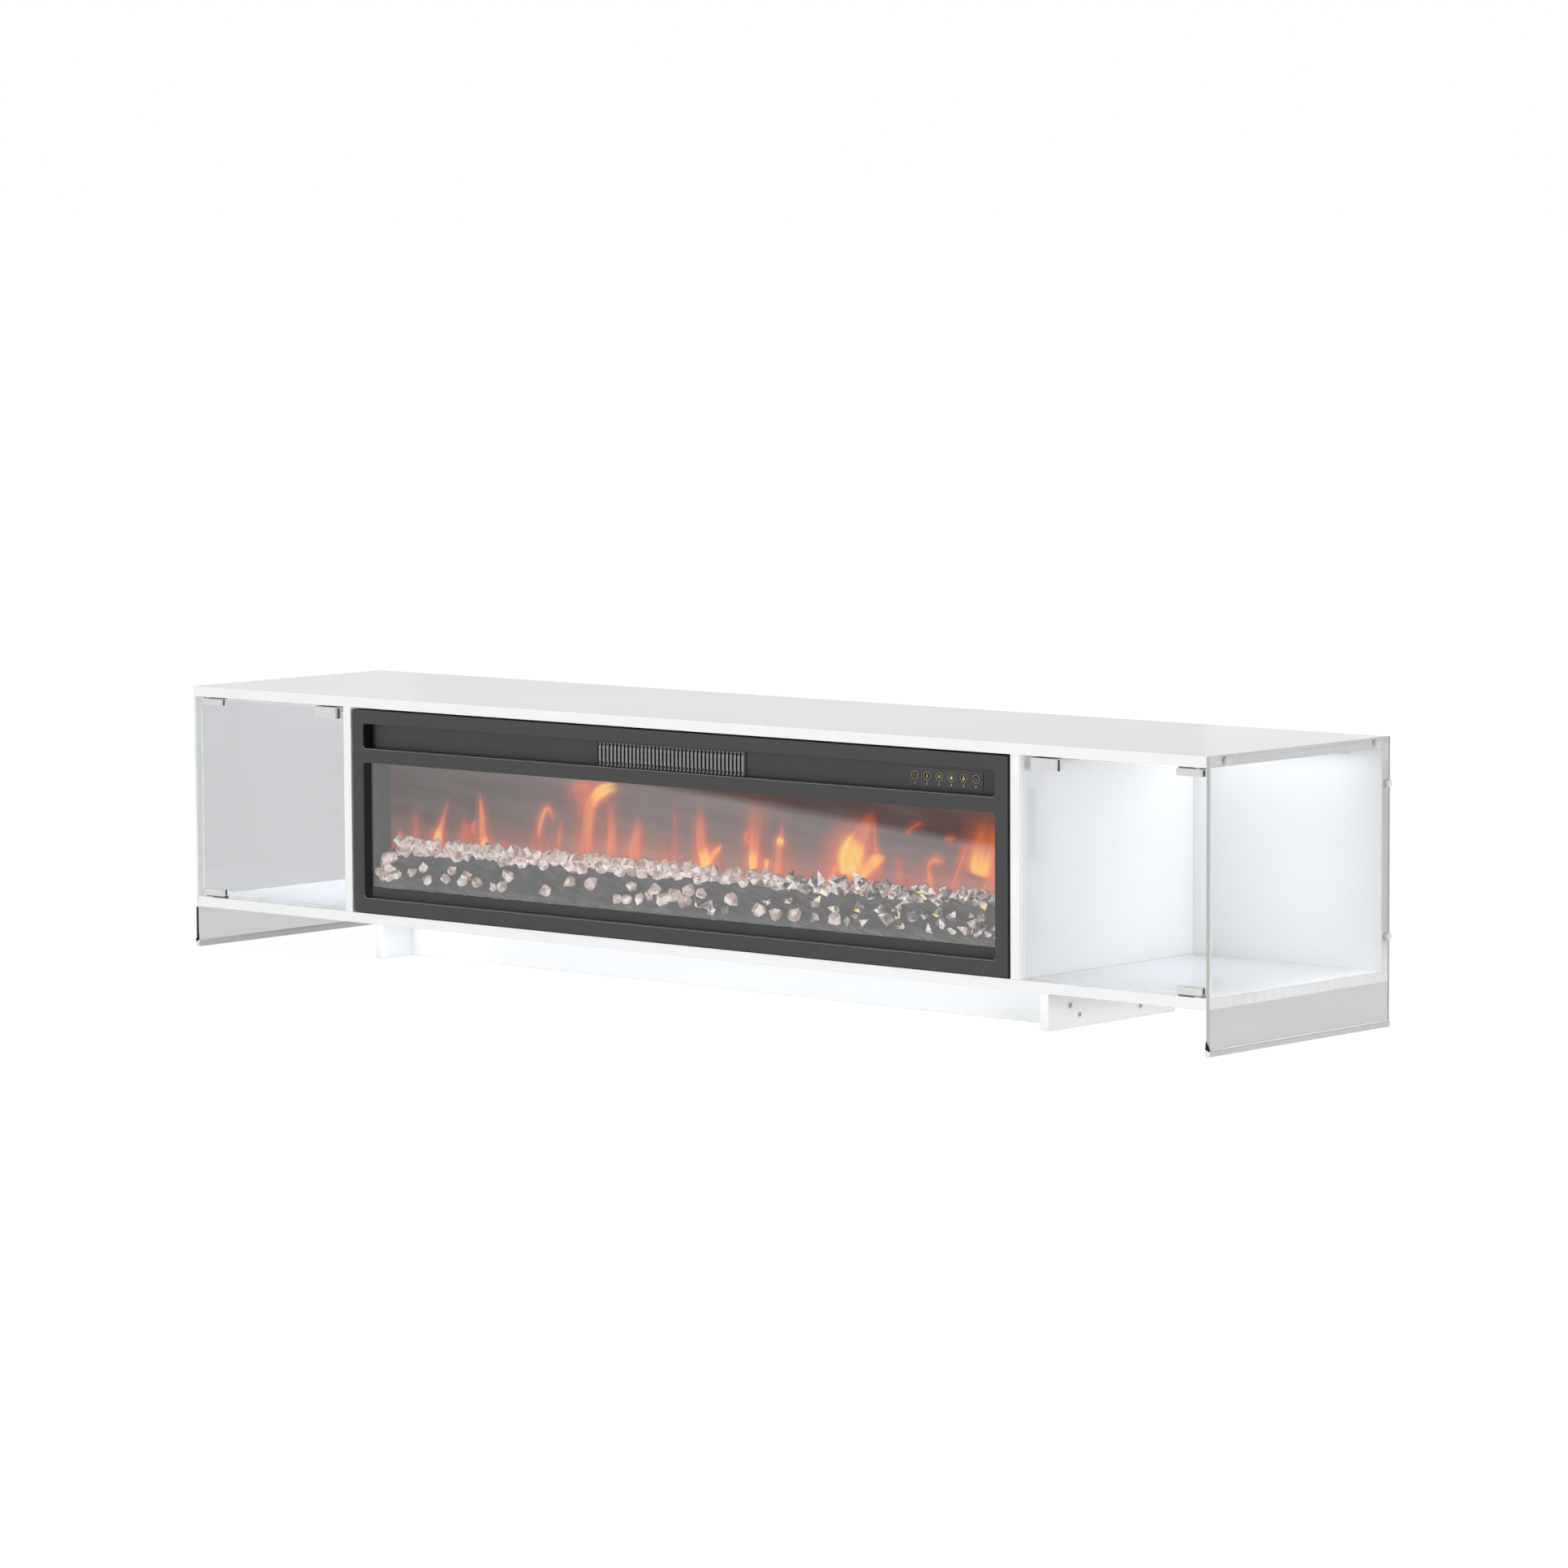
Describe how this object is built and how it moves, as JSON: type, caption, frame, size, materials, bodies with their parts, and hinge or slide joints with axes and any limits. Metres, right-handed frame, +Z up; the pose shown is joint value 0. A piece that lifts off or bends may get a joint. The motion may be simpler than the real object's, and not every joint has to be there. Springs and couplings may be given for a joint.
{
  "type": "fireplace tv stand",
  "caption": "Long low media cabinet: electric fireplace insert between side bays behind pivoting glass doors, glass ends down to the floor, white boards and a plinth.",
  "frame": {"origin": "on the floor under the middle of the cabinet's length and depth", "axes": "+X to the right seen from the front, +Y to the back, +Z up"},
  "size_m": [1.912, 0.391, 0.388],
  "materials": {
    "lacquered_board": "white lacquer on fibreboard",
    "clear_glass": "polished",
    "satin_metal": "satin",
    "white_plastic": "matt",
    "black_plastic": "matt",
    "black_gloss": "gloss",
    "charcoal_coat": "matt charcoal powder coat",
    "dark_sheet": "matt black",
    "zinc_sheet": "zinc plated",
    "crystal_glass": "broken faces, clear",
    "frosted_acrylic": "frosted smoke",
    "bright_foil": "bright foil",
    "circuit_board": "solder mask"
  },
  "bodies": {
    "cabinet": {"top_panel": "lacquered_board", "bottom_panel": "lacquered_board", "back_panel": "lacquered_board", "left_divider": "lacquered_board", "right_divider": "lacquered_board", "plinth_front_board": "lacquered_board", "plinth_rear_board": "lacquered_board", "plinth_left_board": "lacquered_board", "plinth_right_board": "lacquered_board", "left_side_glass": "clear_glass", "right_side_glass": "clear_glass", "left_foot_channel": "satin_metal", "right_foot_channel": "satin_metal", "left_cap_screw_top_front": "satin_metal", "left_cap_screw_top_rear": "satin_metal", "left_cap_screw_back_upper": "satin_metal", "left_cap_screw_back_lower": "satin_metal", "right_cap_screw_top_front": "satin_metal", "right_cap_screw_top_rear": "satin_metal", "right_cap_screw_back_upper": "satin_metal", "right_cap_screw_back_lower": "satin_metal", "left_latch_body": "white_plastic", "right_latch_body": "white_plastic", "left_upper_pivot_bushing": "satin_metal", "left_lower_pivot_bushing": "satin_metal", "right_upper_pivot_bushing": "satin_metal", "right_lower_pivot_bushing": "satin_metal", "left_led_strip": "white_plastic", "right_led_strip": "white_plastic", "front_bezel": "charcoal_coat", "control_fascia": "charcoal_coat", "heater_grille": "charcoal_coat", "touch_panel": "black_gloss", "window_glass": "clear_glass", "window_trim": "dark_sheet", "firebox_shell": "dark_sheet", "ember_tray": "dark_sheet", "crystal_bed": "crystal_glass", "flame_screen": "frosted_acrylic", "rotor_bearing": "black_plastic", "rotor_motor": "zinc_sheet", "flame_led_board": "circuit_board", "heater_shelf": "zinc_sheet", "heater_housing": "zinc_sheet", "heater_element": "satin_metal", "blower_motor": "zinc_sheet", "control_board": "circuit_board", "mains_inlet": "black_plastic"},
    "left_door": {"left_door_glass": "clear_glass", "left_upper_hinge_clamp": "satin_metal", "left_lower_hinge_clamp": "satin_metal", "left_strike_clip": "satin_metal"},
    "right_door": {"right_door_glass": "clear_glass", "right_upper_hinge_clamp": "satin_metal", "right_lower_hinge_clamp": "satin_metal", "right_strike_clip": "satin_metal"},
    "left_plunger": {"left_latch_plunger": "satin_metal"},
    "right_plunger": {"right_latch_plunger": "satin_metal"},
    "rotor": {"flame_rotor": "bright_foil"},
    "blower": {"blower_wheel": "black_plastic"}
  },
  "joints": [
    {"name": "left_door_hinge", "type": "hinge", "parent": "cabinet", "child": "left_door", "pos_m": [-0.926, -0.1845, 0.224], "axis": [0, 0, -1], "range_deg": [0, 100]},
    {"name": "right_door_hinge", "type": "hinge", "parent": "cabinet", "child": "right_door", "pos_m": [0.926, -0.1845, 0.224], "axis": [0, 0, 1], "range_deg": [0, 100]},
    {"name": "left_latch_slide", "type": "slide", "parent": "cabinet", "child": "left_plunger", "axis": [0, 1, 0], "range_m": [0, 0.003], "stiffness_N_per_m": 500, "springref_m": -0.002},
    {"name": "right_latch_slide", "type": "slide", "parent": "cabinet", "child": "right_plunger", "axis": [0, 1, 0], "range_m": [0, 0.003], "stiffness_N_per_m": 500, "springref_m": -0.002},
    {"name": "flame_rotor_spin", "type": "hinge", "parent": "cabinet", "child": "rotor", "pos_m": [0, -0.0845, 0.135], "axis": [1, 0, 0], "continuous": true},
    {"name": "blower_spin", "type": "hinge", "parent": "cabinet", "child": "blower", "pos_m": [0, -0.083, 0.33225], "axis": [1, 0, 0], "continuous": true}
  ]
}
